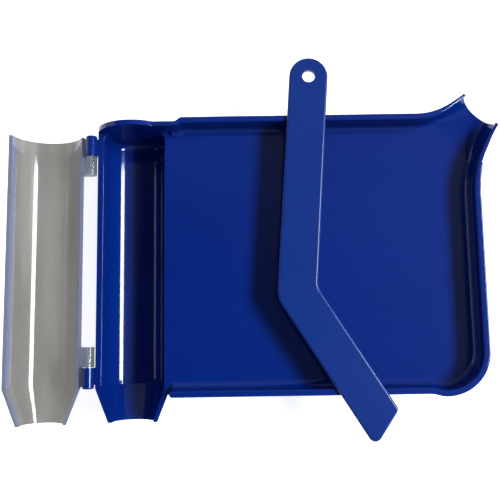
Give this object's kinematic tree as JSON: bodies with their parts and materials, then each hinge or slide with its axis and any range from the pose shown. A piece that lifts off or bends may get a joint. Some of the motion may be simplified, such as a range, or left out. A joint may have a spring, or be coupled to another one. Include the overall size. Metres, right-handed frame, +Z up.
{
  "type": "pill counting tray",
  "caption": "Moulded counting tray with a side trough under a hinged clear arched lid, a corner pour spout and a loose cranked spatula.",
  "frame": {"origin": "middle of the flat strip under the trough, on the surface that the tray stands on", "axes": "+Z up, +X from the trough across the counting area, +Y from the trough's pouring end to its closed end"},
  "size_m": [0.2618, 0.199, 0.042],
  "materials": {
    "tray_plastic": "glossy moulded blue",
    "clear_plastic": "glossy clear, slightly smoked",
    "pin_steel": "bright drawn wire",
    "spatula_plastic": "glossy moulded blue"
  },
  "bodies": {
    "tray": {"tray": "tray_plastic", "hinge_pin_rear": "pin_steel", "hinge_pin_front": "pin_steel"},
    "lid": {"lid": "clear_plastic"},
    "spatula": {"spatula": "spatula_plastic"}
  },
  "joints": [
    {"name": "lid_hinge", "type": "hinge", "parent": "tray", "child": "lid", "pos_m": [-0.0238, 0, 0.0245], "axis": [0, 1, 0], "range_deg": [0, 169.7]},
    {"name": "spatula_lift", "type": "slide", "parent": "tray", "child": "spatula", "axis": [0, 0, 1], "range_m": [0, 0.06]}
  ]
}
